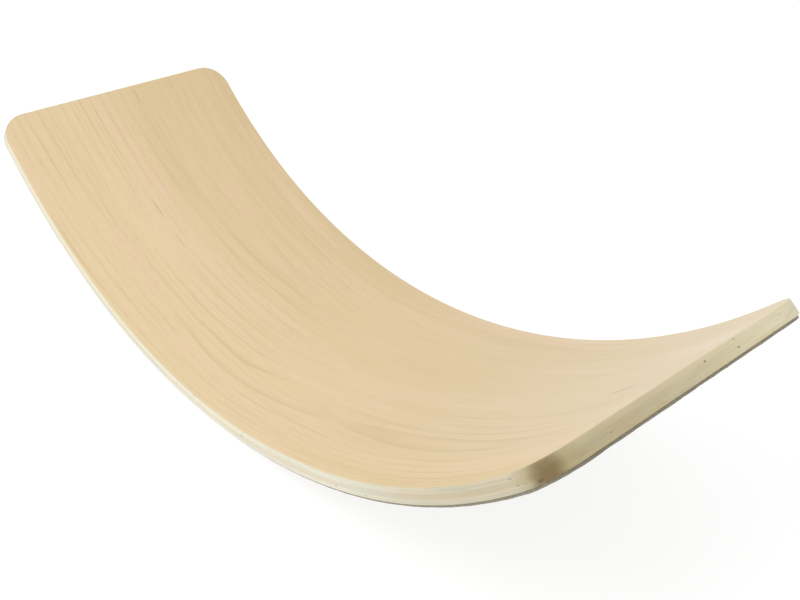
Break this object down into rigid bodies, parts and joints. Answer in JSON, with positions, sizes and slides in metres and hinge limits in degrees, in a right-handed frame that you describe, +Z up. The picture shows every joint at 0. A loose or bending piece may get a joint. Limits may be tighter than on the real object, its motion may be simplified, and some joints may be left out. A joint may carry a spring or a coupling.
{
  "type": "balance board",
  "caption": "Curved plywood rocker board with rounded corners and a felt pad stuck under its whole lower face, for balance and rocking exercise.",
  "frame": {"origin": "lowest point of the felt, in the middle of the board's length and width", "axes": "+X along the length, +Y across the width, +Z up out of the hollow face"},
  "size_m": [0.8244, 0.3, 0.1945],
  "materials": {
    "upper_face": "clear satin lacquer on pale beech veneer, grain along the length",
    "lower_face": "clear satin lacquer on pale beech veneer, grain along the length",
    "long_veneer": "sanded veneer edge, grain along the length",
    "cross_veneer": "sanded veneer edge, grain across the width",
    "glue": "cured moulding glue",
    "adhesive": "translucent adhesive film",
    "felt": "pressed wool felt, dark grey"
  },
  "bodies": {
    "root": {"upper_face_veneer": "upper_face", "cross_veneer_1": "cross_veneer", "long_veneer_1": "long_veneer", "cross_veneer_2": "cross_veneer", "centre_veneer": "long_veneer", "cross_veneer_3": "cross_veneer", "long_veneer_2": "long_veneer", "cross_veneer_4": "cross_veneer", "lower_face_veneer": "lower_face", "glue_lines": "glue", "felt_adhesive": "adhesive", "felt_pad": "felt"}
  },
  "joints": []
}
